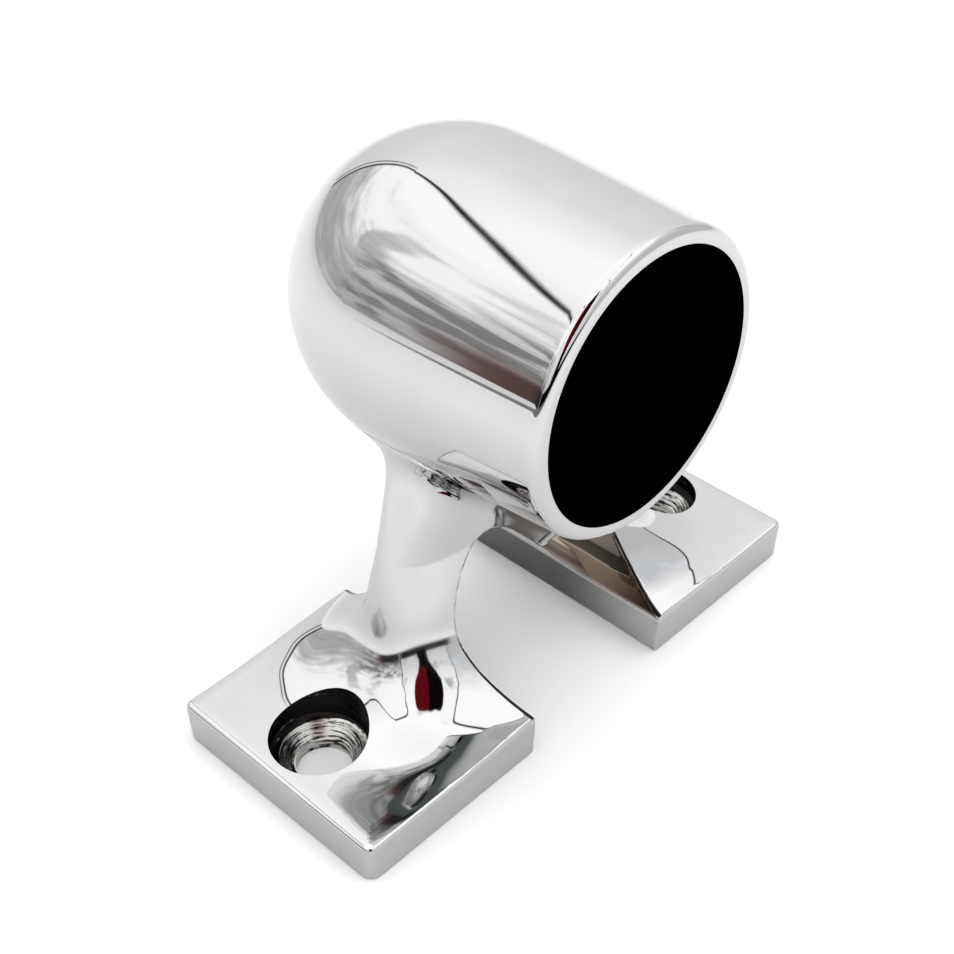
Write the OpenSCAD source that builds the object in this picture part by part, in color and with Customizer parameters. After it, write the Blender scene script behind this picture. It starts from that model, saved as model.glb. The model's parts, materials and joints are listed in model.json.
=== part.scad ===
// Twin-leg end bracket for a 25 mm handrail: a blind tube socket carried on an arch between two screw-down feet.
// Frame: +X along the rail, out of the socket's mouth; +Y across the two feet; +Z up off the deck.
// Origin: on the deck plane, midway between the two screw holes.

/* [Rail socket] */
// Bore that the rail tube slides into
bore_d = 25.5; // [22.5:0.1:26]
// Height of the rail's axis above the deck
axis_h = 40.3; // [38:0.1:46]
// Outside diameter of the barrel where it meets the nose
barrel_rear_d = 31.2; // [30:0.1:33]
// Outside diameter of the barrel at its mouth
barrel_rim_d = 29; // [28.6:0.1:30]
// Length of the barrel, which is also the depth of the socket
barrel_len = 22; // [18:0.5:26]
// Distance from the screw holes' line to the mouth
rim_x = 16.8; // [14:0.1:20]
// Radius that rounds the mouth's outer edge
rim_round = 1; // [0.4:0.1:1.2]

/* [Nose] */
// Length of the bullet-shaped nose behind the socket
nose_len = 16.5; // [10:0.5:20]
// Wall thickness of the hollow nose
nose_wall = 3; // [2:0.1:5]
// Width of the ledge that stops the rail tube
stop_ledge = 2; // [1:0.1:4]

/* [Feet] */
// Length of each foot along the rail
foot_len = 26.5; // [22:0.5:32]
// Width of each foot across the rail
foot_w = 22; // [20:0.5:24]
// Thickness of each foot
foot_t = 4.6; // [4:0.1:6]
// Radius of the foot's vertical corners
foot_corner = 1.2; // [0.5:0.1:3]
// Width of the rounding along the foot's upper edges
foot_edge = 0.8; // [0.3:0.1:1.2]

/* [Screw holes] */
// Distance between the two screw holes
hole_spacing = 50; // [48:0.5:52]
// Margin from a hole's centre to the foot's outer edge
hole_margin = 6.4; // [6:0.1:8]
// Clearance diameter for a 5 mm screw
hole_d = 5.5; // [5.2:0.1:5.8]
// Diameter of the countersink where it leaves the foot
sink_d = 9.8; // [9:0.1:10.4]

/* [Arch] */
// Radius of the round opening under the arch
arch_r = 11.16; // [10.5:0.02:11.5]
// Height of the centre of that opening
arch_h = 10.7; // [10.5:0.1:11.5]
// Half length of a leg at its waist
waist_half = 4.1; // [3.5:0.1:6]
// Height of that waist
waist_h = 19.5; // [18:0.5:21]
// Height where the leg starts to flare out towards the foot
flare_h = 13.3; // [11:0.1:15]
// Half width of the keel under the barrel
keel_half = 4.7; // [4:0.1:5.5]
// Front end of the keel
keel_front = 12.4; // [8:0.1:13]
// Rear end of the keel
keel_rear = 12; // [8:0.1:13]

/* [Set screw] */
// Thread diameter of the screw that locks the rail
set_d = 5; // [4:1:5]
// Length of the set screw
set_len = 5; // [4:0.5:5]
// Hexagon key size across flats
set_key = 2.5; // [2:0.5:2.5]
// Depth of the hexagon socket
set_key_depth = 2.4; // [1:0.1:3]
// Position of the set screw along the rail
set_x = 5; // [2:0.5:8]

/* [Hidden] */
$fn = 64;
bore_r = bore_d / 2;
rear_r = barrel_rear_d / 2;
rim_r = barrel_rim_d / 2;
nose_x = rim_x - barrel_len;
hole_y = hole_spacing / 2;
foot_out = hole_y + hole_margin;
foot_in = foot_out - foot_w;
foot_half = foot_len / 2;
hole_r = hole_d / 2;
sink_r = sink_d / 2;
land_h = 1.15;            // height of the plain hole below the countersink
seat_r = 4.1;             // top of the 90 degree seat, where the wall turns steeper
seat_h = land_h + seat_r - hole_r;
set_r = set_d / 2;
set_clearance = 0.05;     // radial gap between the set screw and its hole
set_top = axis_h - bore_r - 0.15;   // the screw's tip, just under the bore's wall
leg_foot_y = hole_y;      // where the leg's fillet runs out on the foot
leg_taper = 0.13;         // growth of the leg's half length per mm away from the waist
leg_lean = 0.075;         // backward lean per mm of height
face_y = 16.3;            // outer face at the top of the flare
face_slope = 0.16;        // inward slope of that face
face_curve = 0.009;       // and its inward curve
flare_power = 1.6;        // shape of the flare: 2 would be an ellipse
leg_steps = 22;
arc_steps = 12;
leg_top = 31;             // buried in the barrel, and cut back to its surface
section_power = 3;        // squareness of the leg's cross-section
steel = [0.79, 0.79, 0.81];
machined = [0.62, 0.61, 0.6];
dark_steel = [0.35, 0.35, 0.36];

// Half width of the arch opening at height z
function arch_side(z) =
    let (rise = z - arch_h)
    abs(rise) < arch_r ? sqrt(arch_r * arch_r - rise * rise) : 0;

// Share of the flare reached at height z: 0 at the waist, 1 on the foot
function flare(z) =
    let (u = min(1, max(0, (flare_h - z) / (flare_h - foot_t))))
    1 - pow(1 - pow(u, flare_power), 1 / flare_power);

// Half length of the leg along the rail, if it had no flare
function leg_shank(z) = waist_half + leg_taper * abs(z - waist_h);

// Half length of the leg's section along the rail
function leg_half(z) =
    leg_shank(z) + (foot_half - foot_edge - leg_shank(foot_t)) * flare(z);

// The leg leans a little back along the rail as it rises
function leg_centre(z) = -leg_lean * max(0, min(z, waist_h) - foot_t);

// Outer face of the leg if it had no flare, measured across the rail
function leg_face(z) = face_y - face_slope * (z - flare_h) - face_curve * pow(z - flare_h, 2);

// Outer face of the leg, measured across the rail
function leg_out(z) = leg_face(z) + (leg_foot_y - leg_face(foot_t)) * flare(z);

// Inner edge of the leg's rounded section, just past the wall that the arch opening cuts
function leg_in(z) = max(keel_half, arch_side(z) - 0.4);

function signed_pow(v, p) = sign(v) * pow(abs(v), p);

// One horizontal section: flat on the keel's side, rounded on the outer side
function leg_ring(z) = concat(
    [[leg_centre(z) + leg_half(z), -keel_half, z]],
    [for (i = [0 : 2 * arc_steps])
        let (a = 90 * i / arc_steps, p = 2 / section_power)
        [leg_centre(z) + leg_half(z) * signed_pow(cos(a), p),
         -leg_in(z) - (leg_out(z) - leg_in(z)) * signed_pow(sin(a), p), z]],
    [[leg_centre(z) - leg_half(z), -keel_half, z]]);

// Heights are closer together near the foot, where the flare curves most
function leg_height(i) = foot_t + (leg_top - foot_t) * pow(i / leg_steps, 1.7);

// Solid through a stack of rings that all have the same number of points
module loft(rings) {
    n = len(rings[0]);
    last = len(rings) - 1;
    polyhedron(
        points = [for (ring = rings) each ring],
        faces = concat(
            [[for (j = [n - 1 : -1 : 0]) last * n + j]],
            [[for (j = [0 : n - 1]) j]],
            [for (i = [0 : last - 1], j = [0 : n - 1])
                let (k = (j + 1) % n) each
                [[i * n + j, (i + 1) * n + j, (i + 1) * n + k],
                 [i * n + j, (i + 1) * n + k, i * n + k]]]),
        convexity = 4);
}

// Turns a shape drawn along +Z so that it lies along the rail, starting at x
module along_rail(x) {
    translate([x, 0, axis_h]) rotate([0, 90, 0]) children();
}

// Outline of the nose, from its joint with the barrel to its tip
function nose_arc(r, length, steps) =
    [for (i = [0 : steps]) let (a = 90 * i / steps) [r * cos(a), -length * sin(a)]];

module barrel_skin() {
    straight = barrel_len - rim_round;
    along_rail(nose_x) rotate_extrude()
        polygon(concat(
            [[0, 0], [rear_r, 0]],
            [for (a = [0 : 10 : 90])
                [rim_r - rim_round + rim_round * cos(a), straight + rim_round * sin(a)]],
            [[0, barrel_len]]));
}

module nose_skin() {
    along_rail(nose_x) rotate_extrude()
        polygon(concat([[0, 0]], nose_arc(rear_r, nose_len, 18)));
}

module arch_opening() {
    translate([0, 0, arch_h]) rotate([0, 90, 0])
        cylinder(r = arch_r, h = 4 * foot_len, center = true);
}

// Screw hole: a plain hole, a 90 degree seat, and a steep wall up through the fillet
module screw_hole() {
    translate([0, -hole_y, 0]) {
        translate([0, 0, -1]) cylinder(r = hole_r, h = land_h + 2);
        translate([0, 0, land_h]) cylinder(r1 = hole_r, r2 = seat_r, h = seat_h - land_h);
        translate([0, 0, seat_h]) cylinder(r1 = seat_r, r2 = sink_r, h = foot_t - seat_h);
        translate([0, 0, foot_t]) cylinder(r = sink_r, h = 1);
    }
}

module set_screw_hole() {
    translate([set_x, 0, arch_h])
        cylinder(r = set_r + set_clearance, h = axis_h - arch_h);
}

module socket_barrel() {
    color(steel) difference() {
        barrel_skin();
        along_rail(nose_x - 1) cylinder(r = bore_r, h = barrel_len + 2);
        set_screw_hole();
    }
}

module nose_cap() {
    inner_r = bore_r - stop_ledge;
    color(steel) difference() {
        nose_skin();
        along_rail(nose_x) rotate_extrude()
            polygon(concat([[0, 1], [inner_r, 1]],
                           nose_arc(inner_r, nose_len - nose_wall, 12)));
    }
}

// Block that joins the tops of both legs and carries the barrel
module saddle_keel() {
    end_r = 3;
    color(steel) difference() {
        union() {
            translate([-keel_rear + end_r, -keel_half, arch_h])
                cube([keel_rear + keel_front - 2 * end_r, 2 * keel_half, axis_h - arch_h]);
            translate([-keel_rear, end_r - keel_half, arch_h])
                cube([keel_rear + keel_front, 2 * (keel_half - end_r), axis_h - arch_h]);
            for (x = [end_r - keel_rear, keel_front - end_r], y = [-1, 1])
                translate([x, y * (keel_half - end_r), arch_h])
                    cylinder(r = end_r, h = axis_h - arch_h);
        }
        arch_opening();
        barrel_skin();
        nose_skin();
        set_screw_hole();
    }
}

module leg() {
    color(steel) difference() {
        loft([for (i = [0 : leg_steps]) leg_ring(leg_height(i))]);
        arch_opening();
        barrel_skin();
        nose_skin();
        translate([0, -hole_y, 0]) cylinder(r = sink_r, h = 3 * foot_t);
    }
}

// Square-cornered on the side where the leg stands, rounded along the other upper edges
module foot() {
    r = foot_corner;
    lower = foot_t - foot_edge;
    color(steel) difference() {
        union() {
            translate([-foot_half, -foot_out + r, 0])
                cube([foot_len, foot_w - 2 * r, lower]);
            translate([r - foot_half, -foot_out, 0])
                cube([foot_len - 2 * r, foot_w, lower]);
            for (x = [-1, 1], y = [-foot_out + r, -foot_in - r])
                translate([x * (foot_half - r), y, 0]) cylinder(r = r, h = lower);
            hull() {
                foot_slab(0, lower, 0.01);
                foot_slab(0.3 * foot_edge, lower + 0.7 * foot_edge, 0.01);
                foot_slab(foot_edge, foot_t - 0.01, 0.01);
            }
        }
        screw_hole();
    }
}

// Thin slice of the foot, drawn in from its three free edges
module foot_slab(inset, z, h) {
    r = foot_corner;
    for (x = [-1, 1], y = [-foot_out + inset + r, -foot_in - r])
        translate([x * (foot_half - inset - r), y, z]) cylinder(r = r, h = h, $fn = 32);
}

module rail_set_screw() {
    color(dark_steel) difference() {
        translate([set_x, 0, set_top - set_len]) cylinder(r = set_r, h = set_len);
        translate([set_x, 0, set_top - set_len - 1])
            cylinder(d = set_key / cos(30), h = set_key_depth + 1, $fn = 6);
    }
}

socket_barrel();
nose_cap();
saddle_keel();
leg();  // left_leg
mirror([0, 1, 0]) leg();  // right_leg
foot();  // left_foot
mirror([0, 1, 0]) foot();  // right_foot
rail_set_screw();
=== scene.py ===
"""Looks of a mirror-polished handrail end bracket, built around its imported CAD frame.

Shapes are worked out in millimetres, and scaled to metres when a mesh is made. The legs, feet and keel
are one smooth surface with blended fillets, which is cut into its pieces near the seams of the CAD parts.
"""

import json
import math

import bmesh
import bpy
import numpy as np
from mathutils import Matrix, Vector


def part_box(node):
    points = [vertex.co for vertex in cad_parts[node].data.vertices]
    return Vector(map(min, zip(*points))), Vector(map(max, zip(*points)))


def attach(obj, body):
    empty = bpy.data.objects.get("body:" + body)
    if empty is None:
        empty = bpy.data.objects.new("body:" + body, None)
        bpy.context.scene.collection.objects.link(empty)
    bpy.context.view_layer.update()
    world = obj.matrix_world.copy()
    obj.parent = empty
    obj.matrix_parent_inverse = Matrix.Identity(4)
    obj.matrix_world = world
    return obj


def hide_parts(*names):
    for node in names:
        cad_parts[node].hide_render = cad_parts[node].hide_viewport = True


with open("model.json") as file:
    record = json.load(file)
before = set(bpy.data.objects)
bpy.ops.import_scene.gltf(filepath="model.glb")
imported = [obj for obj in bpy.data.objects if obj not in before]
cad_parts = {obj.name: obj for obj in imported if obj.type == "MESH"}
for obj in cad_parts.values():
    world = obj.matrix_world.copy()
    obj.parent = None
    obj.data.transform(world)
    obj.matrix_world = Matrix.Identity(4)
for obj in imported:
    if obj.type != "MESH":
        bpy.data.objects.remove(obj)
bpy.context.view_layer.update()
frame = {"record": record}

MM = 0.001

# ---------------------------------------------------------------- sizes from the frame, in millimetres


def node_box(name):
    low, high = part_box(name)
    return np.array(low) / MM, np.array(high) / MM


mounts = {m["name"]: m for m in frame["record"]["mounts"]}
barrel_low, barrel_high = node_box("socket_barrel")
nose_low, _ = node_box("nose_cap")
foot_low, foot_high = node_box("right_foot")
screw_low, screw_high = node_box("rail_set_screw")

REAR_X, RIM_X = barrel_low[0], barrel_high[0]
AXIS_Z = (barrel_low[2] + barrel_high[2]) / 2
REAR_R = (barrel_high[2] - barrel_low[2]) / 2
RIM_R = REAR_R - 1.1         # the barrel tapers a little towards its mouth
BORE_R = mounts["rail_socket"]["dims"]["r_mm"]
NOSE_LEN = REAR_X - nose_low[0]
FOOT_X = foot_high[0]
FOOT_IN, FOOT_OUT = foot_low[1], foot_high[1]
FOOT_T = foot_high[2]
HOLE_Y = mounts["foot_bolts"]["dims"]["spacing_y_mm"] / 2
HOLE_R = mounts["foot_bolts"]["dims"]["hole_r_mm"]
SCREW_X = (screw_low[0] + screw_high[0]) / 2
SCREW_R = (screw_high[0] - screw_low[0]) / 2

# ---------------------------------------------------------------- other sizes, in millimetres

SEAM_Z = FOOT_T + 0.15       # the legs and feet meet where the flare has begun to rise
ARCH_R, ARCH_Z = 11.16, 10.7         # round opening under the arch
KEEL_HALF = 4.7              # half width of the keel under the barrel
KEEL_FRONT, KEEL_REAR = 12.2, -11.8
FLARE_Z = 13.3               # the legs flare below this height
WAIST_Z, WAIST_HALF = 19.5, 4.1
SINK_R = 4.85                # wall of the screw's seat
SINK_SHIFT = 0.22            # how far the seat stands off the drilled hole, rearwards and outwards
BROAD_WAVE, FINE_WAVE = 0.05, 0.006  # heights of the polish's unevenness
BLEND_FOOT, BLEND_BARREL = 2.2, 4.5  # widths of the fillets to the feet and to the barrel
THREAD_PITCH, THREAD_DEPTH = 0.8, 0.43
SCREW_CHAMFER = 0.35
KEY_DEPTH = 2.2
KEY_CORNER_R = 2.5 / math.sqrt(3)    # to the corners of a 2.5 mm hexagon

# ---------------------------------------------------------------- the smooth shape, as signed distances


def smooth_min(a, b, k):
    h = np.maximum(k - np.abs(a - b), 0) / k
    return np.minimum(a, b) - h ** 3 * k / 6


def smooth_max(a, b, k):
    return -smooth_min(-a, -b, k)


def barrel_radius(x):
    """Outside radius of the barrel and nose at x: half an ellipse, then a taper that sets in gently."""
    bend = 6.0  # over about this length
    length = RIM_X - REAR_X
    taper = (REAR_R - RIM_R) / (math.hypot(length, bend) - bend)
    ahead = np.maximum(x - REAR_X, 0)
    behind = np.clip((REAR_X - x) / NOSE_LEN, 0, 1)
    straight = REAR_R - taper * (np.sqrt(ahead ** 2 + bend ** 2) - bend)
    return np.where(x < REAR_X, REAR_R * np.sqrt(1 - behind ** 2), straight)


def barrel_distance(x, y, z):
    """Distance outside the solid envelope of the barrel and nose."""
    rho = np.hypot(y, z - AXIS_Z)
    behind = np.minimum(x - REAR_X, 0)
    level = np.hypot(behind / NOSE_LEN, rho / REAR_R)
    slope = np.hypot(behind / NOSE_LEN ** 2, rho / REAR_R ** 2)
    nose = level * (level - 1) / np.maximum(slope, 1e-6)
    return np.where(x < REAR_X, nose, rho - barrel_radius(x))


def rounded_rectangle(x, y, half_x, half_y, r):
    qx, qy = np.abs(x) - half_x + r, np.abs(y) - half_y + r
    return np.hypot(np.maximum(qx, 0), np.maximum(qy, 0)) + np.minimum(np.maximum(qx, qy), 0) - r


def shank_half(z):
    """Half length of the leg along the rail, without its flare."""
    return WAIST_HALF + 0.13 * np.abs(z - WAIST_Z)


def shank_face(z):
    """Distance of the leg's outer face from the middle of the arch, without its flare."""
    above = z - FLARE_Z
    return 16.3 - 0.16 * above - 0.009 * above ** 2


def leg_level(x, y, z):
    """0 on the leg's outer skin. A horizontal section is a squarish half ellipse, flat side inwards."""
    roundness, flare_along, flare_across = 2.3, 2.1, 3
    lean = -0.075            # rearwards, for each millimetre of height
    inner_low, inner_in = 9.2, 4.7       # inner face at the foot, and how far it moves in under the barrel
    inner_from, inner_rise = 13, 9       # heights over which it does so
    heel, heel_z, heel_height = 0.8, 8.5, 4          # extra thickness at the rear of the ankle

    flare = np.clip((FLARE_Z - z) / (FLARE_Z - FOOT_T), 0, 1.1)
    half = shank_half(z) + (FOOT_X - shank_half(FOOT_T)) * flare ** flare_along
    outer = shank_face(z) + (HOLE_Y - shank_face(FOOT_T)) * flare ** flare_across
    centre = lean * (np.minimum(z, WAIST_Z) - FOOT_T)
    drop = np.clip((z - inner_from) / inner_rise, 0, 1)
    inner = inner_low - inner_in * drop * drop * (3 - 2 * drop)
    rear = heel * np.exp(-((z - heel_z) / heel_height) ** 2)
    u = np.abs(x - centre) / (half + np.where(x < centre, rear, 0))
    v = np.maximum(y - inner, 0) / (outer - inner)
    return (u ** roundness + v ** roundness) ** (1 / roundness) - 1


def scaled_distance(level, x, y, z, step=0.02):
    """Turns a level function into a distance, by dividing it by its gradient's length."""
    gx = level(x + step, y, z) - level(x - step, y, z)
    gy = level(x, y + step, z) - level(x, y - step, z)
    gz = level(x, y, z + step) - level(x, y, z - step)
    length = np.sqrt(gx * gx + gy * gy + gz * gz) / (2 * step)
    return level(x, y, z) / np.maximum(length, 0.02)


def foot_distance(x, y, z):
    """One foot pad. Its upright corners are rounder at the bottom, and its top rolls off at its edges."""
    bottom_corner, top_corner = 1.5, 0.9
    top_edge, bottom_edge = 0.9, 0.5
    roll_drop, rear_reach, front_reach = 0.15, 1.4, 2.7
    under_top = 0.04         # room for the unevenness of the polish

    inner = FOOT_IN - 3      # the arch's opening cuts the inner side
    middle, half_y = (FOOT_OUT + inner) / 2, (FOOT_OUT - inner) / 2
    corner = bottom_corner + (top_corner - bottom_corner) * np.clip(z / FOOT_T, 0, 1)
    plan = rounded_rectangle(x, y - middle, FOOT_X, half_y, corner)
    reach = rear_reach + (front_reach - rear_reach) * np.clip(x / FOOT_X, 0, 1)
    roll = np.clip(1 + plan / reach, 0, 1)
    top = FOOT_T - under_top - roll_drop * roll ** 2
    block = smooth_max(plan, z - top, top_edge)
    return smooth_max(block, -z, bottom_edge)


def bracket_distance(x, y, z):
    """The whole arch, blended into the barrel's underside."""
    inside_foot, inside_barrel, inside_opening = 3, 32, 14   # heights that end the legs and the keel unseen
    keel_top, keel_slant, slant_height = 25.5, 0.7, 4        # its front end slants back below keel_top
    keel_corner, arch_edge = 0.8, 0.5
    outline_corner, outline_edge = 0.9, 0.25

    side = np.abs(y)
    leg = scaled_distance(leg_level, x, side, np.clip(z, FOOT_T - 0.3, 40))
    leg = np.maximum(np.maximum(leg, inside_foot - z), z - inside_barrel)
    front = KEEL_FRONT - keel_slant * np.clip(keel_top - z, 0, slant_height)
    middle, half_x = (front + KEEL_REAR) / 2, (front - KEEL_REAR) / 2
    keel = rounded_rectangle(x - middle, y, half_x, KEEL_HALF, keel_corner)
    keel = np.maximum(np.maximum(keel, inside_opening - z), z - inside_barrel)
    arch = smooth_min(leg, keel, BLEND_BARREL)
    opening = np.minimum(np.hypot(y, z - ARCH_Z) - ARCH_R, np.maximum(side - FOOT_IN, z - FOOT_T))
    arch = smooth_min(arch, foot_distance(x, side, z), BLEND_FOOT)
    arch = smooth_max(arch, -opening, arch_edge)
    limit = rounded_rectangle(x, y, FOOT_X, FOOT_OUT, outline_corner)
    arch = smooth_max(arch, limit, outline_edge)
    return smooth_min(arch, barrel_distance(x, y, z), BLEND_BARREL)


def polish_waves(x, y, z):
    """Slight unevenness left by hand polishing, a few hundredths of a millimetre high."""
    broad = np.sin(0.33 * x + 0.21 * y + 1.3) * np.sin(0.27 * y - 0.2 * z + 0.6 * np.sin(0.2 * x))
    fine = np.sin(0.8 * x - 0.6 * y + 0.4) * np.sin(0.7 * y + 0.5 * z + 2.0)
    return BROAD_WAVE * broad + FINE_WAVE * fine


def skin(points):
    """The finished surface. The unevenness fades out at the barrel, the deck and the feet's outer edges."""
    x, y, z = points[..., 0], points[..., 1], points[..., 2]
    away = np.clip(barrel_distance(x, y, z) / 3, 0, 1)
    inset = np.minimum(FOOT_X - np.abs(x), FOOT_OUT - np.abs(y))
    base = np.clip(z / 1.5, 0, 1) * np.clip(inset / 2, 0, 1)
    return bracket_distance(x, y, z) + polish_waves(x, y, z) * away * base


def skin_gradient(points, step=0.004):
    """Direction in which the surface faces at each point, not yet scaled to length 1."""
    parts = []
    for axis in range(3):
        shift = np.zeros(3)
        shift[axis] = step
        parts.append((skin(points + shift) - skin(points - shift)) / (2 * step))
    return np.stack(parts, -1)


# ---------------------------------------------------------------- meshes


def surface_net(field, low, pitch):
    """Quads along the zero level of a grid of values, one vertex in each cell that the level crosses."""
    inside = field < 0
    shape = tuple(n - 1 for n in field.shape)
    total = np.zeros(shape + (3,))
    count = np.zeros(shape)
    for axis in range(3):
        n = field.shape[axis] - 1
        first = np.take(field, range(n), axis)
        second = np.take(field, range(1, n + 1), axis)
        crossed = (first < 0) != (second < 0)
        share = np.where(crossed, first / np.where(crossed, first - second, 1), 0)
        others = [a for a in range(3) if a != axis]
        for i in (0, 1):
            for j in (0, 1):
                cut = [slice(None)] * 3
                cut[others[0]] = slice(i, shape[others[0]] + i)
                cut[others[1]] = slice(j, shape[others[1]] + j)
                c, s = crossed[tuple(cut)], share[tuple(cut)]
                total[..., axis] += np.where(c, s, 0)
                total[..., others[0]] += c * i
                total[..., others[1]] += c * j
                count += c
    used = count > 0
    index = np.full(shape, -1)
    index[used] = np.arange(used.sum())
    cells = np.argwhere(used)
    vertices = low + pitch * (cells + total[used] / count[used][:, None])
    quads = []
    for axis in range(3):
        u, v = (axis + 1) % 3, (axis + 2) % 3
        n = field.shape[axis] - 1
        first = np.take(inside, range(n), axis)
        second = np.take(inside, range(1, n + 1), axis)
        crossings = np.argwhere(first != second)
        keep = (crossings[:, u] > 0) & (crossings[:, v] > 0)
        keep &= (crossings[:, u] < field.shape[u] - 1) & (crossings[:, v] < field.shape[v] - 1)
        crossings = crossings[keep]
        corners = []
        for du, dv in ((-1, -1), (0, -1), (0, 0), (-1, 0)):
            cell = crossings.copy()
            cell[:, u] += du
            cell[:, v] += dv
            corners.append(index[tuple(cell.T)])
        quad = np.stack(corners, 1)
        enters = inside[tuple(crossings.T)]
        quad[~enters] = quad[~enters][:, ::-1]
        quads.append(quad)
    return vertices, np.concatenate(quads)


def new_object(name, vertices, faces):
    """A mesh object in metres, from vertices in millimetres."""
    mesh = bpy.data.meshes.new(name)
    mesh.from_pydata(np.asarray(vertices) * MM, [], [tuple(int(i) for i in f) for f in faces])
    mesh.validate()
    obj = bpy.data.objects.new(name, mesh)
    bpy.context.scene.collection.objects.link(obj)
    return obj


def lathe(name, profile, steps=256, axis="x", place=(0, 0, 0)):
    """Revolves an outline of (distance along the axis, radius). A point on the axis is one vertex."""
    vertices, rings, faces = [], [], []
    for along, radius in profile:
        turns = 1 if radius < 1e-6 else steps
        ring = []
        for i in range(turns):
            a = 2 * math.pi * i / steps
            ring.append(len(vertices))
            c, s = radius * math.cos(a), radius * math.sin(a)
            vertices.append((along, c, s) if axis == "x" else (c, s, along))
        rings.append(ring)
    closed = rings if profile[0][1] < 1e-6 else rings + [rings[0]]
    for a, b in zip(closed, closed[1:]):
        for i in range(steps):
            j = (i + 1) % steps
            if len(a) == 1:
                faces.append((a[0], b[j], b[i]))
            elif len(b) == 1:
                faces.append((a[i], a[j], b[0]))
            else:
                faces.append((a[i], a[j], b[j], b[i]))
    obj = new_object(name, np.array(vertices) + np.array(place), faces)
    face_outwards(obj)
    return obj


def face_outwards(obj):
    """Turns every face of a closed mesh outwards."""
    bm = bmesh.new()
    bm.from_mesh(obj.data)
    bmesh.ops.recalc_face_normals(bm, faces=bm.faces)
    bm.to_mesh(obj.data)
    bm.free()


def prism(name, outline, low, high, axis="y"):
    """Straight solid over an outline of two coordinates, between two distances along the third axis."""
    n = len(outline)
    vertices = []
    for along in (low, high):
        for a, b in outline:
            vertices.append((a, along, b) if axis == "y" else (a, b, along))
    faces = [tuple(range(n)), tuple(range(2 * n - 1, n - 1, -1))]
    faces += [(i, i + n, (i + 1) % n + n, (i + 1) % n) for i in range(n)]
    obj = new_object(name, vertices, faces)
    face_outwards(obj)
    return obj


def combine(obj, cutter, operation):
    """Applies an exact boolean to obj's mesh, and keeps the cutter."""
    change = obj.modifiers.new("cut", "BOOLEAN")
    change.object, change.operation, change.solver = cutter, operation, "MANIFOLD"
    graph = bpy.context.evaluated_depsgraph_get()
    mesh = bpy.data.meshes.new_from_object(obj.evaluated_get(graph))
    obj.modifiers.clear()
    obj.data = mesh
    return obj


def duplicate(obj, name):
    copy = bpy.data.objects.new(name, obj.data.copy())
    bpy.context.scene.collection.objects.link(copy)
    return copy


def remove(*objects):
    for obj in objects:
        bpy.data.objects.remove(obj)


def drop_crumbs(obj, smallest=100):
    """Removes the loose shells of fewer than smallest faces that a cut along a curved surface leaves."""
    bm = bmesh.new()
    bm.from_mesh(obj.data)
    left, crumbs = set(bm.faces), []
    while left:
        shell = [left.pop()]
        for face in shell:
            for edge in face.edges:
                for near in edge.link_faces:
                    if near in left:
                        left.remove(near)
                        shell.append(near)
        if len(shell) < smallest:
            crumbs += shell
    bmesh.ops.delete(bm, geom=crumbs, context="FACES")
    bm.to_mesh(obj.data)
    bm.free()


def shade(obj, angle=35, on_skin=False):
    """Smooth shading with sharp edges kept. On the polished skin, corners take the skin's own direction.

    A face counts as skin if its corners are within skin_gap millimetres of it and it faces the same way. A
    sliver may face any way, but a face in the seam between leg and foot is never skin.
    """
    skin_gap, same_way, seam_gap = 0.05, 0.5, 0.001
    sliver_area = 0.02 * MM * MM
    mesh = obj.data
    mesh.shade_smooth()
    mesh.set_sharp_from_angle(angle=math.radians(angle))
    corners = np.zeros(len(mesh.loops) * 3, np.float32)
    mesh.corner_normals.foreach_get("vector", corners)
    corners = corners.reshape(-1, 3).astype(float)
    if on_skin:
        places = np.zeros(len(mesh.vertices) * 3)
        mesh.vertices.foreach_get("co", places)
        places = places.reshape(-1, 3) / MM
        slope = skin_gradient(places)
        slope /= np.linalg.norm(slope, axis=1, keepdims=True)
        face_normals = np.zeros(len(mesh.polygons) * 3)
        mesh.polygons.foreach_get("normal", face_normals)
        face_normals = face_normals.reshape(-1, 3)
        starts = np.zeros(len(mesh.polygons), int)
        sizes = np.zeros(len(mesh.polygons), int)
        mesh.polygons.foreach_get("loop_start", starts)
        mesh.polygons.foreach_get("loop_total", sizes)
        vertex_of = np.zeros(len(mesh.loops), int)
        mesh.loops.foreach_get("vertex_index", vertex_of)
        order = np.argsort(starts, kind="stable")
        face_of = np.repeat(order, sizes[order])
        worst = np.zeros(len(sizes))
        np.maximum.at(worst, face_of, np.abs(skin(places))[vertex_of])
        agree = np.ones(len(sizes))
        np.minimum.at(agree, face_of, np.sum(slope[vertex_of] * face_normals[face_of], axis=1))
        in_seam = np.full(len(sizes), True)
        np.logical_and.at(in_seam, face_of, np.abs(places[vertex_of, 2] - SEAM_Z) < seam_gap)
        areas = np.zeros(len(sizes))
        mesh.polygons.foreach_get("area", areas)
        good = ((worst < skin_gap) & ~in_seam & ((areas < sliver_area) | (agree > same_way)))[face_of]
        corners[good] = slope[vertex_of[good]]
    mesh.normals_split_custom_set(corners)


# ---------------------------------------------------------------- the pieces


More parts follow.
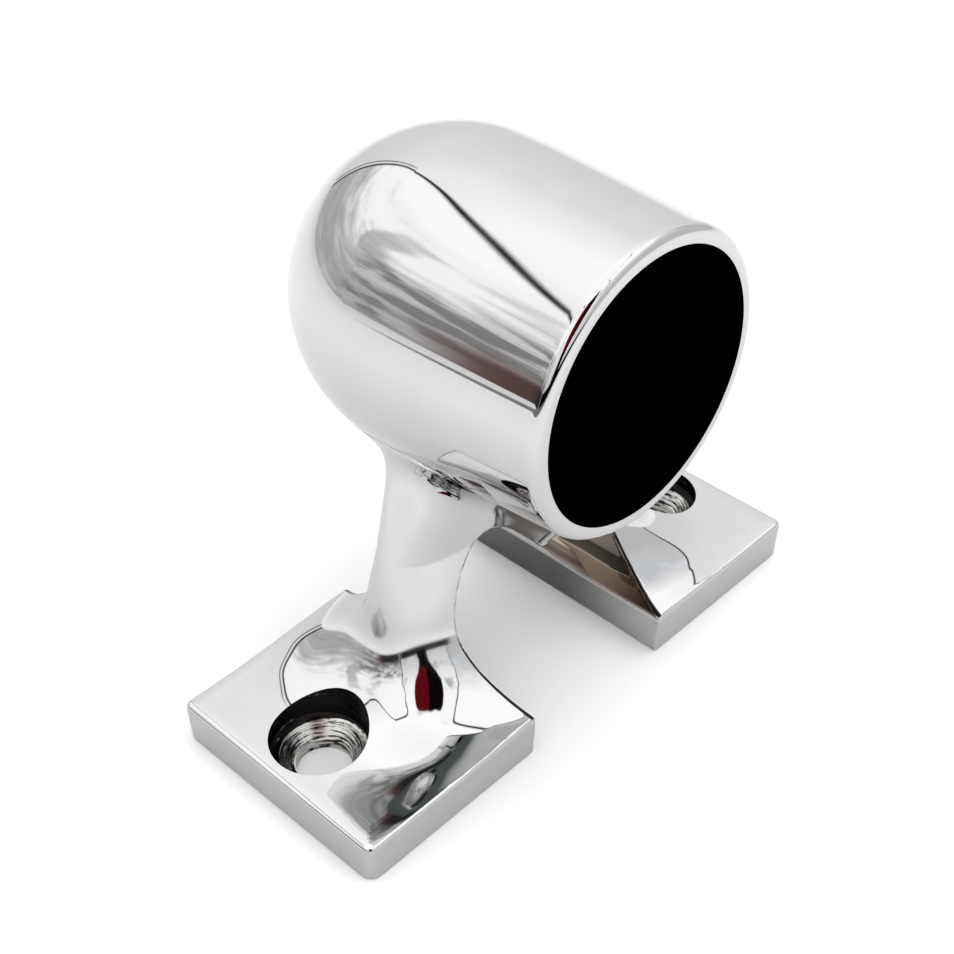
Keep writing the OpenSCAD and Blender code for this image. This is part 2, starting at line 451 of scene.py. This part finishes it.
def make_bracket_skin():
    """The whole smooth bracket, with the barrel's envelope, as one closed mesh."""
    pitch = 0.33
    low = np.array([-14.5, -FOOT_OUT - 1.2, -1.0])
    high = np.array([14.5, FOOT_OUT + 1.2, 31.5])
    counts = np.ceil((high - low) / pitch).astype(int)
    lines = [low[i] + pitch * np.arange(counts[i]) for i in range(3)]
    field = skin(np.stack(np.meshgrid(*lines, indexing="ij"), -1))
    for axis in range(3):
        edge = [slice(None)] * 3
        for end in (0, -1):
            edge[axis] = end
            field[tuple(edge)] = np.maximum(field[tuple(edge)], 0.01)
    vertices, quads = surface_net(field, low, pitch)
    inner = np.all((vertices > low + 2 * pitch) & (vertices < low + pitch * (counts - 3)), axis=1)
    for _ in range(3):  # three steps bring the vertices onto the surface
        spot = vertices[inner]
        slope = skin_gradient(spot)
        move = skin(spot)[:, None] * slope / np.maximum(np.sum(slope ** 2, axis=1, keepdims=True), 0.05)
        vertices[inner] = spot - np.clip(move, -0.3, 0.3)
    return new_object("bracket_skin", vertices, quads)


def nose_outline(steps, radius, length):
    """Quarter ellipse from the nose's tip to its joint with the barrel."""
    points = []
    for i in range(steps + 1):
        a = math.pi / 2 * i / steps
        points.append((REAR_X - length * math.cos(a), radius * math.sin(a)))
    return points


def envelope_outline(grow):
    """Solid outline of the barrel and nose, larger by grow all round."""
    nose = []
    for x, r in nose_outline(64, REAR_R, NOSE_LEN):
        nose.append((x - grow * (r < 1), r + (grow if r > 1e-6 else 0)))
    front = [(x, float(barrel_radius(x)) + grow) for x in np.linspace(REAR_X, RIM_X + 2, 60)[1:]]
    return nose + front + [(RIM_X + 2, 0)]


def make_barrel():
    """Tapered tube with a rounded mouth."""
    edge, lip = 1.0, 0.25    # radii of the mouth's outer and inner edges
    outline = [(x, float(barrel_radius(x))) for x in np.linspace(REAR_X, RIM_X - edge, 40)]
    tip = outline[-1][1]
    for i in range(1, 11):
        a = math.pi / 2 * i / 10
        outline.append((RIM_X - edge + edge * math.sin(a), tip - edge + edge * math.cos(a)))
    for i in range(7):
        a = math.pi / 2 * i / 6
        outline.append((RIM_X - lip + lip * math.cos(a), BORE_R + lip - lip * math.sin(a)))
    outline.append((REAR_X, BORE_R))
    return lathe("socket_barrel_skin", outline, place=(0, 0, AXIS_Z))


def make_nose():
    """Hollow bullet-shaped end. The hollow is narrower than the bore, and the ledge stops the rail tube."""
    ledge, wall = 2, 3
    inner_r = BORE_R - ledge
    outline = nose_outline(48, REAR_R, NOSE_LEN)
    inside = nose_outline(24, inner_r, NOSE_LEN - wall)
    return lathe("nose_cap_skin", outline + inside[::-1], place=(0, 0, AXIS_Z))


def hole_outline():
    """Turned seat of a screw hole: a cone with fine tool marks, and a round wall above it."""
    land, seat_r = 1.15, 4.1         # height of the plain hole below the cone, and the cone's upper radius
    wall_from, past_top = 0.6, 20
    cone_marks, wall_marks, wall_pitch = 30, 15, 0.45
    seat_z = land + seat_r - HOLE_R  # the cone's sides stand at 45 degrees
    outline = [(land, 0), (land, HOLE_R)]
    for i in range(1, cone_marks):
        share = i / cone_marks
        groove = 0.022 * (i % 2) + 0.012 * math.sin(2.1 * i)
        outline.append((land + (seat_z - land) * share, HOLE_R + (seat_r - HOLE_R) * share + groove))
    outline += [(seat_z, seat_r), (seat_z + 0.35, SINK_R - 0.08), (seat_z + wall_from, SINK_R)]
    for i in range(1, wall_marks + 1):
        outline.append((seat_z + wall_from + wall_pitch * i, SINK_R + 0.008 * math.sin(2.7 * i)))
    return outline + [(past_top, SINK_R), (past_top, 0)]


def make_screw():
    """Threaded set screw with a hexagon socket in its lower end and a flat point."""
    low, high, middle = screw_low[2], screw_high[2], SCREW_R - THREAD_DEPTH / 2
    rows, steps, run_out = 120, 48, 0.5  # the thread runs out over run_out at each end
    vertices, faces = [], []
    for j in range(rows + 1):
        z = low + (high - low) * j / rows
        full = min(1, (z - low) / run_out, (high - z) / run_out)
        for i in range(steps):
            turn = i / steps
            phase = ((z - low) / THREAD_PITCH - turn) % 1
            tooth = THREAD_DEPTH * (abs(2 * phase - 1) - 0.5)
            radius = min(middle + full * tooth, SCREW_R) - SCREW_CHAMFER * (1 - full)
            angle = 2 * math.pi * turn
            vertices.append((SCREW_X + radius * math.cos(angle), radius * math.sin(angle), z))
    for j in range(rows):
        for i in range(steps):
            k = (i + 1) % steps
            faces.append((j * steps + i, j * steps + k, (j + 1) * steps + k, (j + 1) * steps + i))
    faces.append(tuple(range(steps - 1, -1, -1)))
    faces.append(tuple(rows * steps + i for i in range(steps)))
    screw = new_object("rail_set_screw_skin", vertices, faces)
    face_outwards(screw)
    hexagon = []
    for i in range(6):
        angle = math.radians(60 * i)
        hexagon.append((SCREW_X + KEY_CORNER_R * math.cos(angle), KEY_CORNER_R * math.sin(angle)))
    key = prism("key", hexagon, low - 1, low + KEY_DEPTH, axis="z")
    combine(screw, key, "DIFFERENCE")
    remove(key)
    return screw


# cut the skin to the barrel, the screw holes and the set screw's hole
bracket = make_bracket_skin()
envelope = lathe("envelope", envelope_outline(0.004), place=(0, 0, AXIS_Z))
combine(bracket, envelope, "DIFFERENCE")
for side in (-1, 1):
    sink = lathe("sink", hole_outline(), steps=160, axis="z",
                 place=(-SINK_SHIFT, side * (HOLE_Y + SINK_SHIFT), 0))
    drill = lathe("drill", [(-1, 0), (-1, HOLE_R), (3, HOLE_R), (3, 0)], steps=128, axis="z",
                  place=(0, side * HOLE_Y, 0))
    combine(bracket, sink, "DIFFERENCE")
    combine(bracket, drill, "DIFFERENCE")
    remove(sink, drill)
tapped_r = SCREW_R + 0.05
screw_hole = lathe("screw_hole", [(14, 0), (14, tapped_r), (35, tapped_r), (35, 0)],
                   steps=64, axis="z", place=(SCREW_X, 0, 0))
combine(bracket, screw_hole, "DIFFERENCE")

# part it into legs, feet and keel
pieces = {}
joint_gap = 0.06
leg_outline = [(-14, SEAM_Z), (14, SEAM_Z), (14, 14), (7, 18), (7, 33), (-9, 33), (-9, 18), (-14, 14)]
foot_outline = [(-20, -2), (20, -2), (20, SEAM_Z), (-20, SEAM_Z)]
for name, side in (("left", -1), ("right", 1)):
    span = sorted((side * (KEEL_HALF + joint_gap), side * 40))
    leg_space = prism("space", leg_outline, *span)
    foot_space = prism("space", foot_outline, *sorted((side * 2, side * 40)))
    for part, space in (("_leg", leg_space), ("_foot", foot_space)):
        pieces[name + part] = combine(duplicate(bracket, name + part + "_skin"), space, "INTERSECT")
    for space in (leg_space, foot_space):
        combine(bracket, space, "DIFFERENCE")
    remove(leg_space, foot_space)
bracket.name = "saddle_keel_skin"
pieces["saddle_keel"] = bracket
pieces["socket_barrel"] = combine(make_barrel(), screw_hole, "DIFFERENCE")
pieces["nose_cap"] = make_nose()
remove(envelope, screw_hole)

screw = make_screw()
shade(screw)
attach(screw, "set_screw")
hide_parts("rail_set_screw")

for node, piece in pieces.items():
    drop_crumbs(piece)
    shade(piece, on_skin=node not in ("socket_barrel", "nose_cap"))
    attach(piece, "bracket")
    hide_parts(node)

# ---------------------------------------------------------------- shader arithmetic


class Maths:
    """Builds chains of math nodes, so that a formula reads as one line of code."""

    def __init__(self, tree):
        self.tree = tree

    def __call__(self, operation, *values):
        node = self.tree.nodes.new("ShaderNodeMath")
        node.operation = operation
        for socket, value in zip(node.inputs, values):
            if isinstance(value, (int, float)):
                socket.default_value = value
            else:
                self.tree.links.new(value, socket)
        return node.outputs[0]

    def step(self, value, low, high):
        """0 at low, 1 at high, smooth between. The other way round if low is above high."""
        if low > high:
            return self("SUBTRACT", 1, self.step(value, high, low))
        node = self.tree.nodes.new("ShaderNodeMapRange")
        node.interpolation_type = "SMOOTHSTEP"
        node.inputs["From Min"].default_value = low
        node.inputs["From Max"].default_value = high
        self.tree.links.new(value, node.inputs["Value"])
        return node.outputs["Result"]

    def mix(self, share, first, second):
        """first where share is 0, second where it is 1. A plain number stands for a grey."""
        node = self.tree.nodes.new("ShaderNodeMix")
        node.data_type = "RGBA"
        for socket, value in ((node.inputs[0], share), (node.inputs[6], first), (node.inputs[7], second)):
            if isinstance(value, (int, float)):
                socket.default_value = value if socket.type == "VALUE" else (value, value, value, 1)
            elif isinstance(value, tuple):
                socket.default_value = (*value, 1)
            else:
                self.tree.links.new(value, socket)
        return node.outputs[2]

    def ramp(self, value, stops):
        """Colour of value between stops of (value, grey or colour)."""
        node = self.tree.nodes.new("ShaderNodeValToRGB")
        elements = node.color_ramp.elements
        while len(elements) < len(stops):
            elements.new(0.5)
        for element, (place, colour) in zip(elements, stops):
            element.position = place
            element.color = (*colour, 1) if isinstance(colour, tuple) else (colour, colour, colour, 1)
        self.tree.links.new(value, node.inputs["Fac"])
        return node.outputs["Color"]

    def between(self, value, low, high, soft):
        """1 where value is between low and high, fading to 0 over twice soft at each end."""
        after_low = self.step(value, low - soft, low + soft)
        before_high = self("SUBTRACT", 1, self.step(value, high - soft, high + soft))
        return self("MULTIPLY", after_low, before_high)

    def noise(self, vector, scale, detail=3, stretch=(1, 1, 1)):
        mapping = self.tree.nodes.new("ShaderNodeMapping")
        mapping.inputs["Scale"].default_value = stretch
        self.tree.links.new(vector, mapping.inputs["Vector"])
        node = self.tree.nodes.new("ShaderNodeTexNoise")
        node.inputs["Scale"].default_value = scale
        node.inputs["Detail"].default_value = detail
        self.tree.links.new(mapping.outputs["Vector"], node.inputs["Vector"])
        return node.outputs["Fac"]


# ---------------------------------------------------------------- materials


def new_material(name):
    material = bpy.data.materials.new(name)
    material.use_nodes = True
    nodes, links = material.node_tree.nodes, material.node_tree.links
    return material, nodes, links, nodes["Principled BSDF"]


def polished_steel(name, ground_sides=False):
    """Mirror polish, duller on the shanks. Inside the arch a brown painted reflection, darker towards the
    front as painted shade, and a black band of painted shade along the arch's edge.

    With ground_sides it is the feet's steel instead: upright faces below the top edge are left satin, and
    painted darker as painted shade where they face into the arch, more so towards the rear.
    """
    material, nodes, links, shader = new_material(name)
    m = Maths(material.node_tree)
    shader.inputs["Metallic"].default_value = 1
    where = nodes.new("ShaderNodeTexCoord").outputs["Object"]
    place = nodes.new("ShaderNodeSeparateXYZ")
    links.new(where, place.inputs["Vector"])
    x, y, z = (m("DIVIDE", output, MM) for output in place.outputs)
    side = m("ABSOLUTE", y)
    rise = m("SUBTRACT", z, ARCH_Z)
    into_arch = m("SUBTRACT", m("SQRT", m("ADD", m("MULTIPLY", y, y), m("MULTIPLY", rise, rise))), ARCH_R)

    haze = m.noise(where, 220, 4)
    tint = m.mix(haze, (0.64, 0.64, 0.645), (0.69, 0.69, 0.695))
    gloss = m("ADD", 0.02, m("MULTIPLY", haze, 0.03))
    if ground_sides:
        tilt = nodes.new("ShaderNodeSeparateXYZ")
        links.new(nodes.new("ShaderNodeNewGeometry").outputs["Normal"], tilt.inputs["Vector"])
        worn, fresh, painted_shade = (0.54, 0.54, 0.53), (0.64, 0.64, 0.635), (0.2, 0.205, 0.195)
        upright = m.step(m("ABSOLUTE", tilt.outputs["Z"]), 0.42, 0.3)
        satin = m("MULTIPLY", upright, m.step(z, FOOT_T - 0.35, FOOT_T - 0.5))
        scratches = m.noise(where, 700, 3, stretch=(1, 1, 6))
        # painted shade: the feet's sides that face into the arch are painted dark, more so towards the rear
        inner = m("MULTIPLY", m.step(side, FOOT_IN + 0.6, FOOT_IN + 0.2), m.step(x, 12, -1))
        ground = m.mix(inner, m.mix(scratches, worn, fresh), painted_shade)
        tint = m.mix(satin, tint, ground)
        gloss = m("ADD", gloss, m("MULTIPLY", satin, 0.3))
    else:
        shank = m("MULTIPLY", m.step(z, 7, 14), m.step(z, 25.5, 22.5))
        gloss = m("ADD", gloss, m("MULTIPLY", shank, 0.12))
        above = m.step(z, FOOT_T + 0.05, FOOT_T + 0.3)
        arch_face = m("MULTIPLY", above, m.step(into_arch, 0.22, 0.05))
        # painted reflection: the arch's inner face is painted brown, and darker towards the front as
        # painted shade
        lit_brown_reflection, shaded_brown_reflection, black = (0.4, 0.345, 0.3), (0.05, 0.035, 0.028), (0.02, 0.02, 0.02)
        brown = m.mix(m.step(x, 3, 12.5), lit_brown_reflection, shaded_brown_reflection)
        tint = m.mix(m("MULTIPLY", arch_face, m.step(side, 5.5, 8.5)), tint, brown)
        # painted shade: a black band along the edge of the arch's opening
        edge_shade = m("MULTIPLY", m.step(into_arch, 0.03, 0.1), m.step(into_arch, 0.42, 0.3))
        edge_shade = m("MULTIPLY", edge_shade, m("MULTIPLY", above, m.step(z, 13, 10)))
        tint = m.mix(edge_shade, tint, black)
    links.new(tint, shader.inputs["Base Color"])
    links.new(gloss, shader.inputs["Roughness"])
    return material


def machined_steel(name):
    """Plain bright steel of the set screw."""
    material, nodes, links, shader = new_material(name)
    m = Maths(material.node_tree)
    shader.inputs["Metallic"].default_value = 1
    where = nodes.new("ShaderNodeTexCoord").outputs["Object"]
    haze = m.noise(where, 900, 3)
    links.new(m.mix(haze, (0.42, 0.42, 0.43), (0.55, 0.55, 0.56)), shader.inputs["Base Color"])
    links.new(m("ADD", 0.18, m("MULTIPLY", haze, 0.16)), shader.inputs["Roughness"])
    return material


def turned_seat(name):
    """Screw hole as it left the tool: bright rings of tool marks, and black streaks between them that run
    round it, which are painted shade of the recess.
    """
    material, nodes, links, shader = new_material(name)
    m = Maths(material.node_tree)
    shader.inputs["Metallic"].default_value = 1
    where = nodes.new("ShaderNodeTexCoord").outputs["Object"]
    place = nodes.new("ShaderNodeSeparateXYZ")
    links.new(where, place.inputs["Vector"])
    x = place.outputs["X"]
    y = m("SUBTRACT", m("ABSOLUTE", place.outputs["Y"]), HOLE_Y * MM)
    reach = m("SQRT", m("ADD", m("MULTIPLY", x, x), m("MULTIPLY", y, y)))
    turn = m("ARCTAN2", y, x)
    wrapped = nodes.new("ShaderNodeCombineXYZ")
    links.new(m("MULTIPLY", m("COSINE", turn), 1.2), wrapped.inputs["X"])
    links.new(m("MULTIPLY", m("SINE", turn), 1.2), wrapped.inputs["Y"])
    along = m("ADD", m("MULTIPLY", reach, 1.4), place.outputs["Z"])
    links.new(m("MULTIPLY", along, 2600), wrapped.inputs["Z"])
    rings = m.noise(wrapped.outputs["Vector"], 1.0, 4)
    grain = m.noise(where, 1800, 3)
    # painted shade: the seat's upright wall gets more of the black
    wall = m.step(reach, 4.15 * MM, 4.45 * MM)
    bright = m("ADD", m("ADD", rings, m("MULTIPLY", grain, 0.35)), m("MULTIPLY", wall, -0.26))
    # the black is painted shade of the recess; the metal is the steel's own colour
    recess_shade, metal = (0.012, 0.011, 0.01), (0.66, 0.65, 0.63)
    links.new(m.mix(m.step(bright, 0.54, 0.7), recess_shade, metal), shader.inputs["Base Color"])
    links.new(m("ADD", 0.16, m("MULTIPLY", rings, 0.2)), shader.inputs["Roughness"])
    return material


def painted_shade_black(name):
    """Black that is painted shade inside the socket and on the set screw's tip, with a little grain."""
    material, nodes, links, shader = new_material(name)
    where = nodes.new("ShaderNodeTexCoord")
    grain = nodes.new("ShaderNodeTexNoise")
    grain.inputs["Scale"].default_value = 900
    links.new(where.outputs["Object"], grain.inputs["Vector"])
    tint = nodes.new("ShaderNodeValToRGB")
    tint.color_ramp.elements[0].color = (0.0, 0.0, 0.0, 1)
    tint.color_ramp.elements[1].color = (0.001, 0.001, 0.001, 1)
    links.new(grain.outputs["Fac"], tint.inputs["Fac"])
    links.new(tint.outputs["Color"], shader.inputs["Base Color"])
    shader.inputs["Roughness"].default_value = 0.8
    shader.inputs["Specular IOR Level"].default_value = 0.0
    return material


def assign(piece, material, choose):
    """Gives material to the faces whose centre, in millimetres, and normal satisfy choose."""
    piece.data.materials.append(material)
    index = len(piece.data.materials) - 1
    for face in piece.data.polygons:
        if choose(face.center / MM, face.normal):
            face.material_index = index


def in_screw_hole(centre, side):
    """True on the walls of the screw hole: close to its axis, and neither on the skin nor on the deck."""
    x, y = centre.x + SINK_SHIFT, centre.y - side * (HOLE_Y + SINK_SHIFT)
    return math.hypot(x, y) < SINK_R + 0.1 and abs(skin(np.array(centre))) > 0.01 and centre.z > 0.01


def in_socket(centre, normal):
    """True on the inside of the barrel and nose, and on the faces where the two meet."""
    inwards = centre.y * normal.y + (centre.z - AXIS_Z) * normal.z < 0
    return inwards or abs(centre.x - REAR_X) < 0.01


# faces of the screw's upper end, which sit in the socket's shade and get the painted shade black
def on_screw_tip(centre, normal):
    return normal.z > 0.5 or centre.z > screw_high[2] - 0.6


mirror = polished_steel("mirror_polished_steel")
foot_mirror = polished_steel("foot_steel", ground_sides=True)
seat = turned_seat("turned_seat")
# painted shade: black for the inside of the barrel and nose, and for the screw's tip
bore = painted_shade_black("painted_shade_black")
for node, piece in pieces.items():
    piece.data.materials.clear()
    piece.data.materials.append(foot_mirror if "foot" in node else mirror)
for side, names in ((-1, ("left_foot", "left_leg")), (1, ("right_foot", "right_leg"))):
    for node in names:
        assign(pieces[node], seat, lambda centre, normal: in_screw_hole(centre, side))
for node in ("socket_barrel", "nose_cap"):
    assign(pieces[node], bore, in_socket)
screw.data.materials.append(machined_steel("machined_steel"))
assign(screw, bore, on_screw_tip)

# ---------------------------------------------------------------- studio


def make_floor():
    """White paper. For the steel's reflections only, it is painted darker: painted shade near the part and
    on second bounces, and a dark painted reflection where the table is dark.
    """
    half = 3.0 / MM
    floor = new_object("floor", [(-half, -half, 0), (half, -half, 0), (half, half, 0), (-half, half, 0)],
                       [(0, 1, 2, 3)])
    material, nodes, links, shader = new_material("white_floor")
    m = Maths(material.node_tree)
    where = nodes.new("ShaderNodeTexCoord").outputs["Object"]
    parts = nodes.new("ShaderNodeSeparateXYZ")
    links.new(where, parts.inputs["Vector"])
    x, y = parts.outputs["X"], parts.outputs["Y"]
    # painted reflection: beyond the table's edge the steel sees the floor dark
    beyond = m("MULTIPLY", m.step(y, -0.40, -0.43), m.step(x, -0.35, -0.25))
    reach = m("SQRT", m("ADD", m("MULTIPLY", x, x), m("MULTIPLY", y, y)))
    # painted shade: the floor the steel sees is darker than the white the camera sees, most of all near the
    # part
    near, far = (0.72, 0.722, 0.72), (0.86, 0.862, 0.865)
    painted_reflection = m.mix(m.step(reach, 0.03, 0.12), near, far)
    painted_reflection = m.mix(beyond, painted_reflection, (0.2, 0.2, 0.195))
    path = nodes.new("ShaderNodeLightPath")
    # painted shade: on a second bounce the steel sees the floor near the part almost black
    second_bounce_shade = m("MULTIPLY", m.step(path.outputs["Ray Depth"], 1.4, 1.6), m.step(y, -0.03, -0.09))
    painted_reflection = m.mix(second_bounce_shade, painted_reflection, (0.1, 0.115, 0.11))
    # only glossy rays see the painted floor; the camera and diffuse light see plain white
    seen = m.mix(path.outputs["Is Glossy Ray"], (0.95, 0.95, 0.955), painted_reflection)
    links.new(seen, shader.inputs["Base Color"])
    shader.inputs["Roughness"].default_value = 0.6
    shader.inputs["Specular IOR Level"].default_value = 0.0
    floor.data.materials.append(material)


def soft_light(name, place, aim, size, power):
    """Square area light that the steel doesn't mirror."""
    data = bpy.data.lights.new(name, "AREA")
    data.size, data.energy = size, power
    light = bpy.data.objects.new(name, data)
    light.location = place
    light.rotation_euler = (Vector(aim) - Vector(place)).to_track_quat("-Z", "Y").to_euler()
    light.visible_glossy = False
    bpy.context.scene.collection.objects.link(light)


def make_world():
    """What the steel mirrors: a white tent with two openings edged in black, and a dark stand between them.

    Everything else is lit by an even white. Directions are given in degrees, as height above the horizon
    and as swing, which is counted from the middle of the side that the picture is taken from.
    """
    world = bpy.data.worlds.new("studio")
    world.use_nodes = True
    tree = world.node_tree
    m = Maths(tree)
    where = tree.nodes.new("ShaderNodeTexCoord").outputs["Generated"]
    parts = tree.nodes.new("ShaderNodeSeparateXYZ")
    tree.links.new(where, parts.inputs["Vector"])
    x, y, z = parts.outputs
    height = m("DEGREES", m("ARCSINE", z))
    facing = math.radians(-58)
    ahead = m("ADD", m("MULTIPLY", x, math.cos(facing)), m("MULTIPLY", y, math.sin(facing)))
    across = m("SUBTRACT", m("MULTIPLY", y, math.cos(facing)), m("MULTIPLY", x, math.sin(facing)))
    swing = m("DEGREES", m("ARCTAN2", across, ahead))

    bent = m("ADD", swing, m("MULTIPLY", m("SUBTRACT", m.noise(where, 2.5, 2), 0.5), 22))

    # tent walls and ceiling
    tent = m.ramp(m("DIVIDE", height, 90), [
        (0.0, 0.86), (0.2, (0.95, 0.95, 0.97)), (0.45, 1.08), (0.62, 1.3), (0.75, 1.5), (1.0, 1.35)])
    fold = m.noise(where, 2.6, stretch=(1, 1, 0.6))
    grey_side = m("MULTIPLY", m.between(swing, 186, 202, 4), m.between(height, 38, 57, 4))
    tent = m.mix(m("MULTIPLY", grey_side, m.step(fold, 0.42, 0.6)), tent, (0.76, 0.76, 0.78))

    # left opening
    left_edge, right_edge, crown, crown_swing = -135.5, -22, 57.6, -107
    bow = m("DIVIDE", m("SUBTRACT", swing, crown_swing), 21)
    top = m("SUBTRACT", crown, m("MULTIPLY", 3, m("MINIMUM", m("MULTIPLY", bow, bow), 3)))
    top = m("ADD", top, m("MULTIPLY", 18, m.step(swing, -68, -45)))
    inset = m("SMOOTH_MIN", m("SUBTRACT", swing, left_edge), m("SUBTRACT", top, height), 16)
    inset = m("SMOOTH_MIN", inset, m("SUBTRACT", right_edge, bent), 12)
    streaks = m.noise(where, 3.4, stretch=(1, 1, 5))
    blotches = m.noise(where, 2.4, stretch=(1, 1, 2.2))
    wavy = m("ADD", height, m("MULTIPLY", m("SUBTRACT", streaks, 0.5), 34))
    swirl = m("MULTIPLY", m.step(m.noise(where, 3.2, 2), 0.5, 0.64), m.between(height, 26, 50, 7))
    wavy = m("SUBTRACT", wavy, m("MULTIPLY", swirl, 15))
    room = m.ramp(m("DIVIDE", m("ADD", wavy, 20), 80), [
        (0.1, 0.8), (0.2, 0.68), (0.32, 0.5), (0.44, 0.6), (0.56, 0.85), (0.68, 1.3), (0.9, 1.42)])
    near_side = m.between(swing, -76, -30, 6)
    patches = m.noise(where, 8, 2, stretch=(1, 1, 1.5))
    low = m("MULTIPLY", near_side, m.between(height, 0, 31, 4))
    room = m.mix(m("MULTIPLY", low, m.step(patches, 0.44, 0.58)), room, (0.3, 0.29, 0.285))
    streaked = m("ADD", height, m("MULTIPLY", streaks, 6))
    brown = m("MULTIPLY", m.between(swing, -62, -26, 3), m.between(streaked, -12, 15, 4))
    furniture = m.mix(m.step(swing, -60, -54), (0.15, 0.085, 0.08), (0.03, 0.032, 0.03))
    room = m.mix(brown, room, furniture)

    # right opening
    near_edge, far_edge, lintel = 64, 150, 67
    right = m("SMOOTH_MIN", m("SUBTRACT", bent, near_edge), m("SUBTRACT", lintel, height), 12)
    right = m("SMOOTH_MIN", right, m("SUBTRACT", far_edge, swing), 9)
    misty = m("ADD", height, m("MULTIPLY", m("SUBTRACT", blotches, 0.5), 30))
    right_room = m.ramp(m("DIVIDE", misty, 90), [
        (0.2, 0.7), (0.34, (0.8, 0.82, 0.84)), (0.44, 1.15), (0.56, 1.45)])

    # dark stand between them, half of it draped in red
    middle = m.ramp(m("DIVIDE", height, 90), [(0.0, 0.75), (0.25, 0.95), (0.5, 1.35), (1.0, 1.5)])
    middle = m.mix(m.step(m.noise(where, 4.0), 0.5, 0.66), middle, (0.62, 0.66, 0.66))
    stand_swing, stand_top, half_low, half_more = 21, 66, 9, 17
    width = m("ADD", half_low, m("MULTIPLY", half_more, m.step(height, 18, 52)))
    aside = m("ABSOLUTE", m("SUBTRACT", swing, stand_swing))
    stand = m("SMOOTH_MIN", m("SUBTRACT", width, aside), m("SUBTRACT", stand_top, height), 10)
    ragged = m("ADD", stand, m("MULTIPLY", m("SUBTRACT", m.noise(where, 6, 1), 0.5), 6))
    drape_end = m.step(m("ADD", swing, m("MULTIPLY", blotches, 20)), 30, 33)
    drape = m.mix(drape_end, (0.14, 0.004, 0.008), (0.004, 0.002, 0.002))
    drape = m.mix(m.step(height, 24, 30), (0.0, 0.0, 0.0), drape)

    # all of it together, with the openings' black frames and the left one's thinner second line
    sight = m.mix(m.between(swing, -22, 64, 2), tent, middle)
    sight = m.mix(m.step(height, 66, 72), sight, tent)
    sight = m.mix(m.step(inset, -0.7, 0.7), sight, room)
    sight = m.mix(m.step(right, -0.7, 0.7), sight, right_room)
    for edge in (inset, right):
        sight = m.mix(m.between(edge, -1.3, -0.1, 0.5), sight, (0.0, 0.0, 0.0))
    second = m.between(inset, -3.4, -2.7, 0.4)
    low_left = m("MULTIPLY", m.step(swing, -100, -125), m.step(height, 50, 44))
    second = m("MULTIPLY", second, low_left)
    sight = m.mix(second, sight, (0.1, 0.1, 0.11))
    sight = m.mix(m.step(ragged, -0.6, 0.6), sight, drape)
    # dark edge of the table
    table = m("MULTIPLY", m.between(swing, -24, 66, 6), m.between(height, -2, 9, 1.2))
    sight = m.mix(table, sight, (0.0, 0.0, 0.0))

    path = tree.nodes.new("ShaderNodeLightPath")
    even = m.mix(path.outputs["Is Camera Ray"], (1.0, 1.0, 1.0), (1.05, 1.05, 1.05))
    colour = m.mix(path.outputs["Is Glossy Ray"], even, sight)
    tree.links.new(colour, tree.nodes["Background"].inputs["Color"])
    bpy.context.scene.world = world


def make_camera():
    """The photograph's view: a short telephoto lens, close to the part and looking down at it."""
    place = Vector((82.467, -89.76, 119.173)) * MM
    forward = Vector((-0.53992, 0.56396, -0.62485))
    roll_degrees, lens = -0.21, 60.66
    data = bpy.data.cameras.new("camera")
    data.sensor_width, data.lens = 36, lens
    data.clip_start = 0.005
    camera = bpy.data.objects.new("camera", data)
    turn = forward.to_track_quat("-Z", "Y").to_matrix().to_4x4()
    roll = Matrix.Rotation(math.radians(roll_degrees), 4, "Z")
    camera.matrix_world = Matrix.Translation(place) @ turn @ roll
    bpy.context.scene.collection.objects.link(camera)
    bpy.context.scene.camera = camera


make_floor()
make_world()
soft_light("overhead", (0.1, 0.1, 0.7), (0, 0, 0), 0.8, 2.6)
make_camera()
bpy.context.scene.view_settings.view_transform = "Standard"
